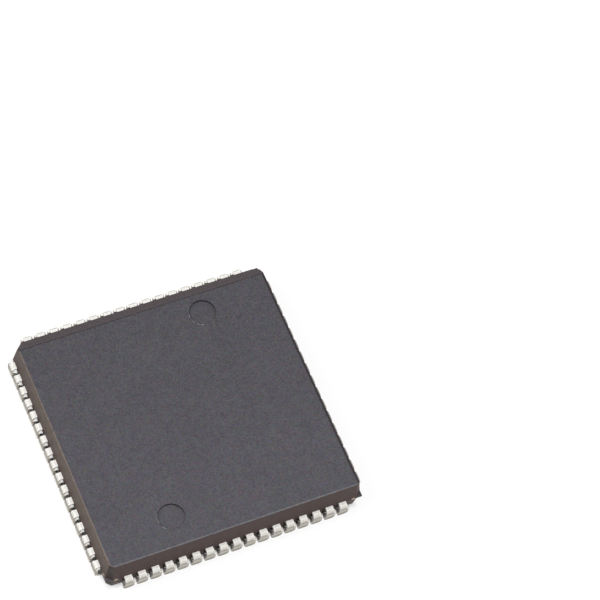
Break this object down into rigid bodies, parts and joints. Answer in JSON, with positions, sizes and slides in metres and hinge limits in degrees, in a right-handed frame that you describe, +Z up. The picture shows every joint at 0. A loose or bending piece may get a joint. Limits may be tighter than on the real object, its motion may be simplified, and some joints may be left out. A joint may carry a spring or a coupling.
{
  "type": "plastic leaded chip carrier",
  "caption": "Square surface-mount chip in a matte dark moulded body with sloping sides, an index corner and bright J-shaped leads that curl under it on every side.",
  "frame": {"origin": "centre of the seating plane, where the feet of the leads touch the board", "axes": "+Z up, away from the board; the side that carries the first lead faces +Y; the index corner is at -X, +Y"},
  "size_m": [0.0252, 0.0252, 0.0045],
  "materials": {
    "epoxy": "matte, fine spark-eroded grain",
    "tin": "bright tin plate, slightly satin",
    "copper": "bare stamped copper alloy",
    "silver_paste": "cured silver-filled adhesive",
    "silicon": "polished silicon",
    "gold": "drawn gold wire"
  },
  "bodies": {
    "root": {"moulded_body": "epoxy", "leads_front": "tin", "leads_right": "tin", "leads_back": "tin", "leads_left": "tin", "die_pad": "copper", "die_attach": "silver_paste", "silicon_die": "silicon", "wires_front": "gold", "wires_right": "gold", "wires_back": "gold", "wires_left": "gold"}
  },
  "joints": []
}
